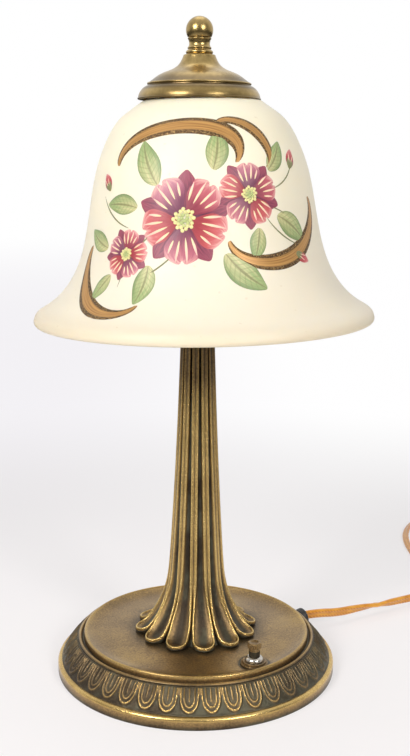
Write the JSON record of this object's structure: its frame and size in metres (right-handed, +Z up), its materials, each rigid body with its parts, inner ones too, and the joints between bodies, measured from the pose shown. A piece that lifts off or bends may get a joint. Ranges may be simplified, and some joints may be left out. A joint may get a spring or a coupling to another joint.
{
  "type": "table lamp",
  "caption": "Table lamp with a bell-shaped satin glass shade under a spun brass cap, on a fluted brass column with a petal foot and a round ornamented base.",
  "frame": {"origin": "centre of the round foot, on the surface that the lamp stands on", "axes": "+Z up the column to the finial, -Y to the side with the rotary switch, +X to the right"},
  "size_m": [0.4749, 0.5054, 0.4965],
  "materials": {
    "antique_brass": "cast and patinated, dark in the recesses",
    "spun_brass": "spun and lacquered",
    "plain_brass": "plain",
    "steel": "zinc plated",
    "nickel": "nickel plated",
    "satin_glass": "acid-etched cream glass with a painted spray",
    "bulb_glass": "frosted",
    "aluminium": "drawn",
    "porcelain": "glazed",
    "phenolic": "moulded",
    "black_rubber": "moulded",
    "gasket_rubber": "soft",
    "board": "pressed",
    "felt": "wool felt",
    "liner_paper": "fibre",
    "cord_gold": "clear gold vinyl",
    "wire_vinyl": "vinyl",
    "plug_vinyl": "moulded",
    "tie_vinyl": "flat strap"
  },
  "bodies": {
    "stand": {"base_casting": "antique_brass", "base_board": "board", "base_felt": "felt", "column": "antique_brass", "neck_ring": "plain_brass", "lamp_pipe": "steel", "bottom_washer": "steel", "bottom_nut": "steel", "harp_saddle": "plain_brass", "harp": "plain_brass", "harp_stud": "plain_brass", "shade_plate": "plain_brass", "shade_gasket": "gasket_rubber", "socket_cap": "plain_brass", "socket_shell": "plain_brass", "socket_liner": "liner_paper", "socket_body": "porcelain", "screw_shell": "plain_brass", "centre_contact": "plain_brass", "terminal_screws": "nickel", "switch_body": "phenolic", "switch_bushing": "plain_brass", "switch_flange": "antique_brass", "switch_nut": "nickel", "cord_gland": "black_rubber", "feed_wire": "wire_vinyl", "riser_wire": "wire_vinyl", "cord_lead": "cord_gold", "cord_coil": "cord_gold", "cord_tail": "cord_gold", "coil_tie": "tie_vinyl", "plug_body": "plug_vinyl", "plug_blades": "plain_brass"},
    "bulb": {"bulb_base": "aluminium", "bulb_tip": "phenolic", "bulb_glass": "bulb_glass"},
    "shade": {"glass_shade": "satin_glass"},
    "cap": {"shade_cap": "spun_brass"},
    "finial": {"finial": "spun_brass"},
    "knob": {"switch_shaft": "steel", "switch_knob": "antique_brass"},
    "left_sleeve": {"harp_sleeve_left": "plain_brass"},
    "right_sleeve": {"harp_sleeve_right": "plain_brass"}
  },
  "joints": [
    {"name": "switch_turn", "type": "hinge", "parent": "stand", "child": "knob", "pos_m": [0.04381, -0.06075, 0.0384], "axis": [0, 0, 1], "continuous": true},
    {"name": "finial_turn", "type": "hinge", "parent": "stand", "child": "finial", "pos_m": [0, 0, 0.4696], "axis": [0, 0, 1], "continuous": true},
    {"name": "cap_turn", "type": "hinge", "parent": "stand", "child": "cap", "pos_m": [0, 0, 0.438], "axis": [0, 0, 1], "continuous": true},
    {"name": "shade_turn", "type": "hinge", "parent": "stand", "child": "shade", "pos_m": [0, 0, 0.4386], "axis": [0, 0, 1], "continuous": true},
    {"name": "bulb_turn", "type": "hinge", "parent": "stand", "child": "bulb", "pos_m": [0, 0, 0.3092], "axis": [0, 0, 1], "continuous": true},
    {"name": "left_sleeve_lift", "type": "slide", "parent": "stand", "child": "left_sleeve", "axis": [0, 0, 1], "range_m": [0, 0.008]},
    {"name": "right_sleeve_lift", "type": "slide", "parent": "stand", "child": "right_sleeve", "axis": [0, 0, 1], "range_m": [0, 0.008]}
  ]
}
